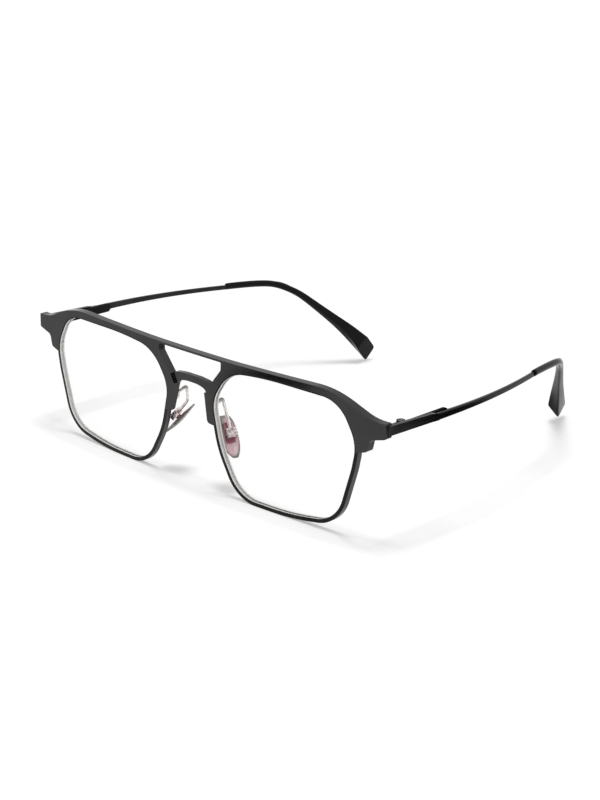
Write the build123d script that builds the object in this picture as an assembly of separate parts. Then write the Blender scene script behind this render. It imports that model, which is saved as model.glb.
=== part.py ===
from build123d import *
from math import asin, cos, radians, sin, sqrt, tan
import os

# Double bridge spectacle frame, millimetres. +X is the wearer's left, +Y runs back along the temples, +Z is up.
# It stands open on its two rims and its two temple tips. While it is drawn, y = 0 is the middle of the front face.

# Driving sizes of the front
lens_width = 53.0
lens_height = 38.35
bridge_width = 20.44
end_piece_reach = 10.58
bow_radius = 750.0
plate_depth = 2.4
brow_height = 2.1
overrun = 6.0

# Eyewire, its groove and the lens
rim_thickness = 1.2
rim_depth = 1.75
rim_setback = 0.1
lip_depth = 0.7
lip_reveal = 0.45
groove_depth = 0.5
groove_width = 0.9
groove_setback = 0.5
lens_gap = 0.06
lens_thickness = 1.45
lens_setback = 0.25

# Bridges, pillars and the wings of the brow plate
top_bar_height = 1.0
lower_bridge_drop = 7.25
lower_bridge_height = 2.2
lower_bridge_setback = 0.8
wing_height = 4.3
wing_drop = 5.5
flange_gap = 0.12
front_wall = 0.8
foot_end_depth = 0.75

# Temple bar
bar_thickness = 1.3
bar_height = 2.8
bar_end_height = 2.4
bar_slope = 0.022
step_length = 2.4
step_sink = 0.15
thin_height = 2.1
thin_end_height = 1.45
thin_end_thickness = 1.1
bar_corner = 0.3
tongue_gap = 0.25
tongue_lift = 0.65
step_reach = 18.2
leaf_reach = 18.2
ear_bend_reach = 86.7
ear_bend_inset = 12.9
ear_bend_drop = 1.95
ear_bend_radius = 14.0
side_bend_share = 0.4394
side_bend_arm_share = 0.873
tip_start_share = 0.7659

# Temple tip and the core wire inside it
tip_drop_reach = 25.8
tip_drop_inset = 20.9
tip_end_rise = 2.1
tip_start_width = 1.5
tip_start_height = 1.85
tip_end_width = 5.5
tip_end_height = 6.8
tip_slim_reach = 8.0
tip_flare_reach = 44.0
tip_corner = 0.55
tip_twist = 5.0
tip_face_inset = 31.1
tip_face_lean = 9.0
core_radius = 0.45
core_gap = 0.05
core_reach = 20.0

# Hinge
hinge_reach = 9.0
barrel_radius = 1.25
barrel_clearance = 0.15
knuckle_gap = 0.05
middle_knuckle_height = 1.15
end_knuckle_height = 0.75
barrel_lift = 0.1
screw_radius = 0.6
screw_gap = 0.05
screw_head_radius = 0.95
screw_head_height = 0.35
screw_slot_width = 0.25
leaf_thickness = 0.95
leaf_height = 2.7
leaf_sink = 0.25
base_width = 4.6
base_depth = 1.1
base_height = 2.9

# Rim lock on the outer side of each eyewire, in a pocket behind the plate's foot
lock_share = 0.722
lock_half_height = 1.8
lock_gap = 0.1
lock_wall = 0.4
lock_depth = 1.8
lock_room = 0.1
lock_screw_radius = 0.4
lock_head_radius = 0.7
lock_head_height = 0.45

# Nose pads, their boxes and arms
pad_length = 12.4
pad_width = 5.7
pad_thickness = 1.5
pad_edge = 0.6
pad_inset = 0.58
pad_setback = 6.0
pad_rise_share = 0.386
pad_normal_shares = (0.647, -0.343, 0.670)
pad_across_shares = (0.441, 0.889, 0.030)
insert_width = 3.2
insert_length = 7.4
insert_thickness = 0.6
boss_width = 1.4
boss_length = 1.5
pad_axis_height = 1.6
pad_screw_radius = 0.4
pad_screw_gap = 0.05
pad_screw_head = 0.65
pad_screw_head_height = 0.4
box_width = 3.0
box_length = 3.0
box_height = 1.9
box_wall = 0.3
box_slot_gap = 0.12
box_lift = 0.3
arm_radius = 0.5
arm_stand = 1.6
solder_gap = 0.02

# Corners of the lens opening, as shares of its width and height from its nasal lower corner. A corner's radius is a
# share of the lens's mean size, or, where it only bows a whole side, of its width squared over its height.
opening_shares = [
    (0.046, 0.343, 0.609, 0),
    (-0.012, 0.699, 0.204, 0),
    (0.115, 0.963, 0.283, 0),
    (0.389, 1.002, 0, 1.658),
    (0.895, 0.993, 0.224, 0),
    (1.012, 0.705, 0.245, 0),
    (0.982, 0.508, 0.364, 0),
    (0.884, 0.064, 0.246, 0),
    (0.554, 0.0, 0, 1.314),
    (0.188, 0.0, 0.254, 0),
]

# Where the flare's sections stand along it, and how much of the flare each has, as shares
tip_flare_shares = [(0, 0), (0.17, 0.06), (0.33, 0.2), (0.5, 0.39), (0.67, 0.63), (0.83, 0.84), (1, 1)]

# Heights and sides that several pieces share
nose_half = bridge_width / 2
half_width = nose_half + lens_width + end_piece_reach
rim_top = rim_thickness + lens_height
brow_top = rim_top + brow_height
wing_top = brow_top - wing_drop
wing_bottom = wing_top - wing_height
window_top = brow_top - brow_height / 20 - top_bar_height
bridge_top = window_top - lower_bridge_drop
bridge_bottom = bridge_top - lower_bridge_height


def bow(x, depth=0.0):
    """Distance back from the middle of the front face to the bowed layer at this depth."""
    return bow_radius - sqrt((bow_radius - depth) ** 2 - x ** 2)


bar_inner = half_width - bar_thickness
tongue_rise = wing_bottom + tongue_lift
leaf_bottom = wing_bottom - leaf_sink
tongue_front = bow(half_width) + front_wall + tongue_gap
hinge_x = bar_inner - barrel_clearance - barrel_radius
hinge_y = bow(half_width) + hinge_reach
step_y = tongue_front + step_reach
leaf_end = hinge_y + leaf_reach
axis_bottom = wing_bottom + barrel_lift
knuckle_one = axis_bottom + end_knuckle_height
knuckle_two = knuckle_one + knuckle_gap
knuckle_three = knuckle_two + middle_knuckle_height
knuckle_four = knuckle_three + knuckle_gap
axis_top = knuckle_four + end_knuckle_height
lock_z = rim_thickness + lock_share * lens_height
foot_end = rim_thickness + lens_height * 0.5
foot_slope = (plate_depth - foot_end_depth) / (bridge_bottom - foot_end)


def rounded(corners, plane=Plane.XZ):
    """Closed face on a plane from corners given as (across, up, radius)."""
    points = [corner[:2] for corner in corners]
    radii = [corner[2] for corner in corners]
    outline = FilletPolyline(*points, radius=radii, close=True)
    return plane * make_face(outline)


def block(x0, x1, y0, y1, z0, z1):
    """Square-edged block between two corners."""
    size = (x1 - x0, y1 - y0, z1 - z0)
    middle = ((x0 + x1) / 2, (y0 + y1) / 2, (z0 + z1) / 2)
    return Pos(*middle) * Box(*size)


def rod(x, y, z0, z1, radius):
    """Upright round bar between two heights."""
    return Pos(x, y, (z0 + z1) / 2) * Cylinder(radius, z1 - z0)


def layer(front, back):
    """Bowed slab between two depths behind the front face, wider and taller than the plate."""
    reach = half_width + overrun
    arcs = []
    for depth in (front, back):
        radius = bow_radius - depth
        swing = asin(reach / radius)
        edge = (radius * sin(swing), bow_radius - radius * cos(swing))
        arcs.append(ThreePointArc((-edge[0], edge[1]), (0, depth), edge))
    sides = [Line(arcs[0] @ end, arcs[1] @ end) for end in (0, 1)]
    slab = extrude(make_face(arcs + sides), brow_top + 2 * overrun)
    return Pos(0, 0, -overrun) * slab


def through(face):
    """Face on the front plane pushed back through the whole front."""
    return Pos(0, -overrun, 0) * extrude(face, -3 * overrun)


def opening(grow=0.0):
    """Face of the wearer's left lens opening, grown outward by some distance."""
    mean = sqrt(lens_width * lens_height)
    flat = lens_width ** 2 / lens_height
    corners = []
    for across, up, tight, bowed in opening_shares:
        x = nose_half + across * lens_width
        corners.append((x, rim_thickness + up * lens_height, tight * mean + bowed * flat))
    face = rounded(corners)
    if grow:
        face = offset(face, amount=grow)
    return face


def both(part):
    """A part and its mirror image."""
    return part + mirror(part, about=Plane.YZ)


def plate_corners():
    """Outline of the brow plate's left half, from the middle of its top edge round to the nose."""
    lens = lens_width
    reach = end_piece_reach
    outer = nose_half + lens
    tail = reach / 10
    return [
        (nose_half * 1.66, brow_top - brow_height * 0.21, lens * 5.0),
        (nose_half + lens * 0.847, brow_top + brow_height * 0.15, lens * 0.58),
        (outer + reach * 0.575, wing_top, reach * 1.5),
        (half_width - tail * 0.1, wing_top + tail * 0.05, tail * 0.35),
        (half_width, wing_bottom, tail * 0.65),
        (outer + reach * 0.49, wing_bottom - wing_height * 0.32, tail * 1.6),
        (outer + reach * 0.41, rim_thickness + lens_height * 0.668, tail * 1.2),
        (outer + reach * 0.04, rim_thickness + lens_height * 0.64, 0),
        (nose_half * 1.12, rim_thickness + lens_height * 0.502, 0),
        (nose_half * 0.725, rim_thickness + lens_height * 0.512, nose_half * 0.12),
        (nose_half * 0.6, bridge_bottom - lower_bridge_height * 0.35, nose_half * 0.2),
        (nose_half * 0.3, bridge_bottom + lower_bridge_height * 0.1, nose_half * 1.2),
    ]


def window_corners():
    """Left half of the window between the two bridges, from the top down."""
    return [
        (nose_half * 1.3, window_top, nose_half * 0.03),
        (nose_half * 1.29, window_top - lower_bridge_drop * 0.33, nose_half * 0.06),
        (nose_half * 0.82, bridge_top - lower_bridge_height * 0.45, nose_half * 0.015),
        (nose_half * 0.66, bridge_top - lower_bridge_height * 0.1, nose_half * 0.35),
        (nose_half * 0.3, bridge_top + lower_bridge_height * 0.08, nose_half * 2),
    ]


def bridge_pocket_corners():
    """Left half of the pocket that sets the front of the lower bridge back, from the top down."""
    return [
        (nose_half * 0.97, bridge_top + lower_bridge_height * 0.35, 0),
        (nose_half * 0.81, bridge_top - lower_bridge_height * 0.5, nose_half * 0.05),
        (nose_half * 0.68, bridge_bottom - lower_bridge_height * 0.68, nose_half * 0.02),
        (nose_half * 0.5, bridge_bottom - lower_bridge_height * 0.6, 0),
    ]


def both_halves(corners):
    """Corners of a whole outline from those of its left half."""
    other = [(-x, z, radius) for x, z, radius in reversed(corners)]
    return corners + other


def tongue_height(y):
    """Height of the temple tongue's lower edge at a distance back."""
    return tongue_rise - bar_slope * (y - tongue_front)


def wing_pocket():
    """Space in the wing, open outward and to the back, that takes the front end of the temple."""
    bottom = tongue_rise - flange_gap
    top = tongue_rise + bar_height + flange_gap
    front = bow(half_width) + front_wall
    inner = bar_inner - barrel_clearance
    return block(inner, half_width + overrun, front, front + overrun, bottom, top)


def brow_front():
    """Milled plate with the top bar, the lower bridge, both pillars, the wings and the feet."""
    face = rounded(both_halves(plate_corners())) - rounded(both_halves(window_corners()))
    face -= both(opening(lip_reveal))
    plate = through(face) & layer(0, plate_depth)
    rebate = through(both(opening(rim_thickness))) & layer(lip_depth, plate_depth + overrun)
    plate -= rebate
    pocket = through(rounded(both_halves(bridge_pocket_corners())))
    plate -= pocket & layer(-overrun, lower_bridge_setback)
    return plate - foot_taper() - both(wing_pocket()) - both(lock_pocket())


def eyewire(plate):
    """Closed rim round the lens, grooved inside, relieved where the plate's lip covers it, split at the lock."""
    ring = opening(rim_thickness) - opening()
    wire = through(ring) & layer(rim_setback, rim_setback + rim_depth)
    groove = through(opening(groove_depth)) & layer(groove_setback, groove_setback + groove_width)
    wire -= groove
    wire -= plate
    outer = nose_half + lens_width
    wire -= block(outer - lens_width / 4, outer + overrun, -overrun, 3 * overrun, lock_z - lock_gap / 2,
                  lock_z + lock_gap / 2)
    return wire


def lens():
    """Clear lens whose edge stands in the groove."""
    body = through(opening(-lens_gap)) & layer(lens_setback, lens_setback + lens_thickness)
    front = groove_setback + lens_gap
    rim = through(opening(groove_depth - lens_gap)) & layer(front, front + groove_width - 2 * lens_gap)
    return body + rim


def foot_back(z):
    """Distance from the front face to the sloped back of a nasal foot at a height."""
    return foot_end_depth + foot_slope * (z - foot_end)


def foot_taper():
    """Wedge that thins both nasal feet from behind, down to their lower ends."""
    low = foot_end - overrun
    high = foot_end + (plate_depth + overrun - foot_end_depth) / foot_slope
    corners = [(foot_back(low), low, 0), (foot_back(high), high, 0), (foot_back(high), low, 0)]
    wedge = extrude(rounded(corners, Plane.YZ), nose_half + rim_thickness, both=True)
    return wedge & layer(-overrun, plate_depth + overrun) & block(
        -bridge_width, bridge_width, -overrun, 2 * overrun, low, bridge_bottom)


def lock_place():
    """Place of the rim lock's screw axis, and the outer side of the lock."""
    x = nose_half + lens_width + rim_thickness + lock_wall + lock_screw_radius
    outer = x + lock_screw_radius + lock_wall
    y = bow(outer, lip_depth) + solder_gap + lock_depth / 2
    return x, y, outer


def lock_pocket():
    """Space in the back of the plate's foot that takes the rim lock and leaves the way to its screw open below."""
    x, y, outer = lock_place()
    front = y - lock_depth / 2 - solder_gap
    top = lock_z + lock_gap / 2 + lock_half_height + lock_room
    return block(x - lens_width / 4, outer + lock_room, front, front + overrun, lock_z - 2 * overrun, top)


def rim_lock():
    """Two half blocks, one on each end of the split eyewire, drilled for the closing screw."""
    x, y, outer = lock_place()
    halves = []
    for side in (-1, 1):
        near = lock_z + side * lock_gap / 2
        far = near + side * lock_half_height
        low, high = min(near, far), max(near, far)
        half = block(x - lens_width / 4, outer, y - lock_depth / 2, y + lock_depth / 2, low, high)
        half -= through(opening(rim_thickness))
        half -= rod(x, y, low - overrun, high + overrun, lock_screw_radius + solder_gap)
        halves.append(half)
    return halves


def rim_lock_screw():
    """Slotted screw that closes the rim lock from below."""
    x, y, outer = lock_place()
    bottom = lock_z - lock_gap / 2 - lock_half_height
    top = lock_z + lock_gap / 2 + lock_half_height
    screw = rod(x, y, bottom - solder_gap, top, lock_screw_radius)
    head_low = bottom - solder_gap - lock_head_height
    screw += rod(x, y, head_low, bottom - solder_gap, lock_head_radius)
    slot = screw_slot_width / 2
    screw -= block(x - lock_head_radius, x + lock_head_radius, y - slot, y + slot, head_low - overrun,
                   head_low + lock_head_height / 2)
    return screw


def hinge_front_leaf():
    """Front leaf of the hinge: foot on the back of the wing, strap and middle knuckle."""
    outer = hinge_x + barrel_radius * 0.6
    inner = outer - base_width
    middle = (knuckle_two + knuckle_three) / 2
    foot = block(inner, outer, 0, bow(outer, plate_depth) + base_depth, middle - base_height / 2,
                 middle + base_height / 2)
    foot &= layer(plate_depth + solder_gap, plate_depth + overrun)
    strap = block(hinge_x - barrel_radius, hinge_x, bow(outer, plate_depth) + base_depth / 2, hinge_y,
                  knuckle_two, knuckle_three)
    leaf = foot + strap + rod(hinge_x, hinge_y, knuckle_two, knuckle_three, barrel_radius)
    return leaf - rod(hinge_x, hinge_y, axis_bottom, axis_top, screw_radius + screw_gap)


def temple_hinge_leaf():
    """Temple leaf of the hinge: a long round-ended plate on the bar with the upper and lower knuckles."""
    round_end = leaf_height * 0.45
    corners = [
        (hinge_y, leaf_bottom, 0),
        (leaf_end, leaf_bottom, round_end),
        (leaf_end, leaf_bottom + leaf_height, round_end),
        (hinge_y, leaf_bottom + leaf_height, 0),
    ]
    face = rounded(corners, Plane.YZ)
    plate = Pos(bar_inner - leaf_thickness, 0, 0) * extrude(face, leaf_thickness)
    relief = barrel_radius + barrel_clearance
    plate -= rod(hinge_x, hinge_y, knuckle_one - knuckle_gap / 2, knuckle_four + knuckle_gap / 2, relief)
    low = rod(hinge_x, hinge_y, axis_bottom, knuckle_one, barrel_radius)
    high = rod(hinge_x, hinge_y, knuckle_four, axis_top, barrel_radius)
    leaf = plate + low + high
    leaf -= rod(hinge_x, hinge_y, axis_bottom - overrun, axis_top + overrun, screw_radius + screw_gap)
    leaf -= rod(hinge_x, hinge_y, axis_top - screw_head_height, axis_top + overrun,
                screw_head_radius + screw_gap)
    return leaf


def hinge_screw():
    """Slotted hinge screw, its head sunk in the upper knuckle."""
    seat = axis_top - screw_head_height + solder_gap
    screw = rod(hinge_x, hinge_y, axis_bottom, seat, screw_radius)
    screw += rod(hinge_x, hinge_y, seat, axis_top, screw_head_radius)
    slot = screw_slot_width / 2
    screw -= block(hinge_x - barrel_radius, hinge_x + barrel_radius, hinge_y - slot, hinge_y + slot,
                   axis_top - screw_head_height / 2, axis_top + overrun)
    return screw


def temple_points():
    """Corners of the temple's centre line: thin bar's start, side bend, ear bend and the end of the tip."""
    x = half_width - bar_thickness / 2
    start_y = step_y + step_length + bar_corner
    start_z = tongue_height(step_y) - step_sink + thin_height / 2
    side_y = hinge_y + side_bend_share * ear_bend_reach
    ear_y = hinge_y + ear_bend_reach
    ear_z = start_z - ear_bend_drop - (side_y - start_y) * bar_slope
    side = (x, side_y, start_z - (side_y - start_y) * bar_slope * 0.7)
    ear = (x - ear_bend_inset, ear_y, ear_z)
    end = (x - ear_bend_inset - tip_drop_inset, ear_y + tip_drop_reach, tip_end_rise)
    return (x, start_y, start_z), side, ear, end


def along(start, end, distance):
    """Point at a distance from one point towards another."""
    line = Vector(*end) - Vector(*start)
    return Vector(*start) + line.normalized() * distance


def section(path, distance, width, height, corner):
    """Rounded rectangle across a path at a distance along it, its width level."""
    share = distance / path.length
    tangent = path % share
    side = Vector(0, 0, 1).cross(tangent).normalized()
    plane = Plane(origin=path @ share, x_dir=side, z_dir=tangent)
    return plane * RectangleRounded(width, height, corner)


def carried(side, before, after):
    """Direction across a path, carried round the bend from one tangent to the next."""
    normal = before.cross(after).normalized()
    across = after.cross(normal) * side.dot(before.cross(normal))
    return normal * side.dot(normal) + across


def thin_end():
    """Point of the centre line where the bar goes into the tip."""
    start, side, ear, end = temple_points()
    return along(side, ear, (tip_start_share - side_bend_share) * ear_bend_reach)


def side_bend_radius():
    """Radius of the side bend that takes up its share of the shorter straight beside it."""
    start, side, ear, end = temple_points()
    before = Vector(*side) - Vector(*start)
    after = thin_end() - Vector(*side)
    spare = min(before.length, after.length)
    return side_bend_arm_share * spare / tan(radians(before.get_angle(after)) / 2)


def core_path(reach):
    """Centre line of the core wire from the tip's mouth round the ear bend."""
    start, side, ear, end = temple_points()
    return FilletPolyline(thin_end(), ear, along(ear, end, reach), radius=[ear_bend_radius])


def core_wire(reach, radius):
    """Round wire that runs inside the tip."""
    path = core_path(reach)
    ring = Plane(origin=path @ 0, z_dir=path % 0) * Circle(radius)
    return sweep(ring, path=path)


def temple_bar():
    """Flat front bar that steps down to a thin, inward curving bar and ends in the core wire."""
    start, side, ear, end = temple_points()
    low = tongue_height(step_y)
    thin_low = start[2] - thin_height / 2
    corners = [
        (tongue_front, tongue_rise, 0),
        (tongue_front, tongue_rise + bar_height, bar_corner),
        (step_y, low + bar_end_height, step_length / 2),
        (step_y + step_length, thin_low + thin_height, step_length / 2),
        (start[1] + bar_corner, thin_low + thin_height, 0),
        (start[1] + bar_corner, thin_low, 0),
        (step_y + step_length, thin_low, step_length / 2),
        (step_y, low, step_length / 2),
    ]
    front = Pos(bar_inner, 0, 0) * extrude(rounded(corners, Plane.YZ), bar_thickness)
    path = FilletPolyline(start, side, thin_end(), radius=[side_bend_radius()])
    pieces = []
    for share in (0.0, 0.15, 0.4, 0.7, 1.0):
        fade = 1 - (1 - share) ** 2
        width = bar_thickness + (thin_end_thickness - bar_thickness) * fade
        height = thin_height + (thin_end_height - thin_height) * fade
        pieces.append(section(path, share * path.length, width, height, bar_corner))
    thin = loft(pieces)
    return front + thin + core_wire(core_reach, core_radius)


def tip_sections():
    """Sections of the tip's flare, from the end of its slim part to the start of its square end."""
    start, side, ear, end = temple_points()
    before = (Vector(*ear) - Vector(*thin_end())).normalized()
    after = (Vector(*end) - Vector(*ear)).normalized()
    level = Vector(0, 0, 1).cross(before).normalized()
    across = carried(level, before, after)
    sections = []
    for share, flare in tip_flare_shares:
        distance = tip_slim_reach + (tip_flare_reach - tip_slim_reach) * share
        width = tip_start_width + (tip_end_width - tip_start_width) * flare
        height = tip_start_height + (tip_end_height - tip_start_height) * flare
        plane = Plane(origin=along(ear, end, distance), x_dir=across, z_dir=after)
        plane = plane.rotated((0, 0, tip_twist * min(1, 2 * share)))
        sections.append(plane * RectangleRounded(width, height, tip_corner))
    return sections


def temple_tip():
    """Moulded tip: slim round the ear bend, then flaring to a square end planed flat on the inside."""
    path = core_path(tip_slim_reach)
    mouth = section(path, 0.0, tip_start_width, tip_start_height, tip_corner)
    sections = tip_sections()
    tip = sweep(mouth, path=path) + loft(sections)
    tip += extrude(sections[-1], overrun)
    tip -= core_wire(core_reach + core_radius, core_radius + core_gap)
    lean = radians(tip_face_lean)
    face = Plane(origin=(half_width - tip_face_inset, 0, 0), x_dir=(0, 1, 0), z_dir=(-cos(lean), 0, -sin(lean)))
    tip -= face * Pos(0, 0, half_width / 2) * Box(6 * half_width, 6 * half_width, half_width)
    return tip - block(0, 2 * half_width, 0, 4 * half_width, -half_width, 0)


def pad_plane():
    """Local frame of the left nose pad: X across it to the back, Y up along it, Z away from the nose."""
    middle = (nose_half + pad_inset, pad_setback, rim_thickness + pad_rise_share * lens_height)
    return Plane(origin=middle, x_dir=pad_across_shares, z_dir=pad_normal_shares)


def pad_outline():
    """Drop-shaped outline of the nose pad."""
    half = pad_width / 2
    top = pad_length / 2
    corners = [
        (-half * 0.92, top, half * 0.75),
        (half * 0.82, top, half * 0.7),
        (half * 1.0, -top * 0.2, half * 1.6),
        (half * 0.75, -top, half * 0.68),
        (-half * 0.8, -top, half * 0.72),
        (-half * 1.0, -top * 0.1, half * 1.5),
    ]
    return rounded(corners, Plane.XY)


def insert_shape(boss_top):
    """Hard insert inside the pad: a rounded plate with a boss."""
    plate = extrude(RectangleRounded(insert_width, insert_length, insert_width / 4), insert_thickness)
    plate = Pos(0, 0, -insert_thickness / 4) * plate
    boss = block(-boss_width / 2, boss_width / 2, -boss_length / 2, boss_length / 2, 0, boss_top)
    return plate + boss


def pad_insert():
    """Hard insert, its boss drilled to rock on the pad screw."""
    shape = insert_shape(pad_axis_height + boss_length / 2)
    bore = Rotation(0, 90, 0) * Cylinder(pad_screw_radius + pad_screw_gap, box_width + overrun)
    return pad_plane() * (shape - Pos(0, 0, pad_axis_height) * bore)


def nose_pad():
    """Soft clear pad moulded round the insert."""
    body = Pos(0, 0, -pad_thickness / 2) * extrude(pad_outline(), pad_thickness)
    body = fillet(body.edges(), pad_edge)
    return pad_plane() * (body - insert_shape(pad_axis_height + boss_length / 2))


def pad_box():
    """Channel shaped box on the arm's end that holds the pad's boss between its cheeks."""
    low = pad_thickness / 2 + box_lift
    high = low + box_height
    box = block(-box_width / 2, box_width / 2, -box_length / 2, box_length / 2, low, high)
    half = boss_width / 2 + box_slot_gap
    box -= block(-half, half, -overrun, box_length / 2 - box_wall, low - overrun, high - box_wall)
    bore = Rotation(0, 90, 0) * Cylinder(pad_screw_radius + solder_gap, box_width + overrun)
    return pad_plane() * (box - Pos(0, 0, pad_axis_height) * bore)


def pad_screw():
    """Small screw across the box on which the pad rocks."""
    length = box_width + solder_gap
    screw = Pos(solder_gap / 2, 0, 0) * Rotation(0, 90, 0) * Cylinder(pad_screw_radius, length)
    reach = box_width / 2 + solder_gap + pad_screw_head_height / 2
    screw += Pos(reach, 0, 0) * Rotation(0, 90, 0) * Cylinder(pad_screw_head, pad_screw_head_height)
    edge = box_width / 2 + solder_gap + pad_screw_head_height
    slot = screw_slot_width / 2
    screw -= block(edge - pad_screw_head_height / 2, edge + overrun, -pad_screw_head, pad_screw_head, -slot, slot)
    return pad_plane() * (Pos(0, 0, pad_axis_height) * screw)


def pad_arm():
    """Wire arm: soldered end on to the back of the pillar, up and over in a loop, and down to the end of the box."""
    low = rim_thickness + lens_height * 0.6
    high = rim_thickness + lens_height * 0.645
    start = foot_back(low) + bow(nose_half) + arm_radius * foot_slope + solder_gap
    middle = pad_thickness / 2 + box_lift + box_height / 2
    end = pad_plane().from_local_coords((0, box_length / 2 + solder_gap, middle))
    before = pad_plane().from_local_coords((0, box_length, middle))
    points = [
        (nose_half * 0.82, start, low),
        (nose_half * 0.82, start + arm_stand, low),
        (nose_half * 0.8, start + arm_stand, high),
        (nose_half * 0.755, pad_setback - arm_radius * 0.2, rim_thickness + lens_height * 0.676),
        (nose_half * 0.815, pad_setback + arm_radius * 1.8, rim_thickness + lens_height * 0.55),
        before,
        end,
    ]
    turns = [arm_radius * share for share in (1.3, 1.6, 1.4, 7, 3)]
    path = FilletPolyline(*points, radius=turns)
    ring = Plane(origin=path @ 0, z_dir=path % 0) * Circle(arm_radius)
    return sweep(ring, path=path)


def left_pieces(plate):
    """Every piece that comes in a left and a right version, built on the left."""
    return {
        "eyewire": eyewire(plate),
        "lens": lens(),
        "rim_lock": rim_lock(),
        "rim_lock_screw": rim_lock_screw(),
        "pad_arm": pad_arm(),
        "pad_box": pad_box(),
        "pad_screw": pad_screw(),
        "nose_pad": nose_pad(),
        "pad_insert": pad_insert(),
        "hinge_front_leaf": hinge_front_leaf(),
        "temple_hinge_leaf": temple_hinge_leaf(),
        "hinge_screw": hinge_screw(),
        "temple_bar": temple_bar(),
        "temple_tip": temple_tip(),
    }


def all_pieces():
    """Every node's name and shape, before the origin is set."""
    plate = brow_front()
    pieces = {"brow_front": plate}
    for name, shape in left_pieces(plate).items():
        solids = shape if isinstance(shape, list) else [shape]
        pieces[name + "_left"] = Compound(children=[Part() + solid for solid in solids])
        others = [mirror(solid, about=Plane.YZ) for solid in solids]
        pieces[name + "_right"] = Compound(children=[Part() + solid for solid in others])
    return pieces


def main():
    """Set the origin at the middle of the footprint and write one file per node."""
    os.makedirs("parts", exist_ok=True)
    pieces = all_pieces()
    tips = pieces["temple_tip_left"].bounding_box()
    shift = -tips.max.Y / 2
    for name, shape in pieces.items():
        export_step(Pos(0, shift, 0) * shape, f"parts/{name}.step")
    print("front face at y", round(shift, 4), "hinge axis at", round(hinge_x, 4), round(hinge_y + shift, 4))
    pad = pad_plane().from_local_coords((0, 0, pad_axis_height))
    print("pad axis at", round(pad.X, 4), round(pad.Y + shift, 4), round(pad.Z, 4))


main()
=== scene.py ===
from math import radians

import bpy
from mathutils import Matrix, Vector


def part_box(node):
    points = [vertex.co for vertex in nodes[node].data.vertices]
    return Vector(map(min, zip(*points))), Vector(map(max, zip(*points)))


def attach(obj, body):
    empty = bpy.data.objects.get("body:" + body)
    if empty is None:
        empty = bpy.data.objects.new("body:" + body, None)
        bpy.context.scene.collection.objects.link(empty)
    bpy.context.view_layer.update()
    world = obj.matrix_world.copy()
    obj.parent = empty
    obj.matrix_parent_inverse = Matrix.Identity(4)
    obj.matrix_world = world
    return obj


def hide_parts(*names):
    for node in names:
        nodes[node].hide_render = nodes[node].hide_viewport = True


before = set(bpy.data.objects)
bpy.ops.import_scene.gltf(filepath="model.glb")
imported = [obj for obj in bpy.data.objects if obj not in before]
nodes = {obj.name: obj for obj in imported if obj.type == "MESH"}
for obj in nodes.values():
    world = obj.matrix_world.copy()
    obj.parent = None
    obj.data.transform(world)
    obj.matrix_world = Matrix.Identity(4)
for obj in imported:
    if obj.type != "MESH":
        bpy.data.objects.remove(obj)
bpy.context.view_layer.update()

MM = 0.001
SIDES = {"left": 1, "right": -1}


# Small helpers for the finishes

def new_finish(name):
    """A material with its tree and its shader."""
    finish = bpy.data.materials.new(name)
    finish.use_nodes = True
    tree = finish.node_tree
    return finish, tree, tree.nodes["Principled BSDF"]


def put(tree, socket, value):
    """Gives a socket a value, or another node's output."""
    if isinstance(value, bpy.types.NodeSocket):
        tree.links.new(value, socket)
    else:
        socket.default_value = value


def add(tree, kind, settings=None, **inputs):
    """A node with its settings and its inputs by number, such as in0."""
    made = tree.nodes.new("ShaderNode" + kind)
    for key, value in (settings or {}).items():
        setattr(made, key, value)
    for key, value in inputs.items():
        put(tree, made.inputs[int(key[2:])], value)
    return made


def dress(tree, shader, **sockets):
    """Sets the shader's sockets by name, with _ for a space."""
    for key, value in sockets.items():
        put(tree, shader.inputs[key.replace("_", " ")], value)


def wear(piece, finish):
    """Puts one finish on all of a piece."""
    if not piece.data.materials:
        piece.data.materials.append(finish)
    for number in range(len(piece.data.materials)):
        piece.data.materials[number] = finish


def sums(tree, operation, one, two=0.0):
    """One arithmetic step."""
    return add(tree, "Math", {"operation": operation}, in0=one, in1=two).outputs[0]


def points(tree, operation, one, two):
    """One step on two points or directions, with its outputs."""
    return add(tree, "VectorMath", {"operation": operation}, in0=one, in1=two).outputs


def place(tree, stretch=(1, 1, 1)):
    """The point on the piece, in metres, stretched along an axis where the grain runs."""
    spot = add(tree, "TexCoord").outputs["Object"]
    if stretch == (1, 1, 1):
        return spot
    return add(tree, "Mapping", in0=spot, in3=stretch).outputs[0]


def grain(tree, size, stretch=(1, 1, 1), detail=3.0, rough=0.55):
    """Cloudy grain from 0 to 1 whose spots are about this many metres across."""
    cloud = add(tree, "TexNoise")
    put(tree, cloud.inputs["Vector"], place(tree, stretch))
    put(tree, cloud.inputs["Scale"], 1 / size)
    put(tree, cloud.inputs["Detail"], detail)
    put(tree, cloud.inputs["Roughness"], rough)
    return cloud.outputs["Fac"]


def span(tree, value, low, high, out_low=0.0, out_high=1.0):
    """Spreads the values between low and high over a new range, and clamps them."""
    return add(tree, "MapRange", {"clamp": True}, in0=value, in1=low, in2=high,
               in3=out_low, in4=out_high).outputs[0]


def drift(tree, value, out_low=0.0, out_high=1.0):
    """Spreads a grain over a new range. Its values hardly leave 0.3 to 0.7."""
    return span(tree, value, 0.3, 0.7, out_low, out_high)


def blend_colours(tree, share, one, two):
    """One colour where the share is 0 and the other where it is 1."""
    mixer = add(tree, "Mix", {"data_type": "RGBA"})
    put(tree, mixer.inputs[0], share)
    put(tree, mixer.inputs[6], one)
    put(tree, mixer.inputs[7], two)
    return mixer.outputs[2]


BEVEL_SAMPLES = 6
EDGE_STARTS = 0.995
EDGE_IS_FULL = 0.85


def broken_edge(tree, reach):
    """The normal of a surface whose edges are broken by this much."""
    return add(tree, "Bevel", {"samples": BEVEL_SAMPLES}, in0=reach).outputs[0]


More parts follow.
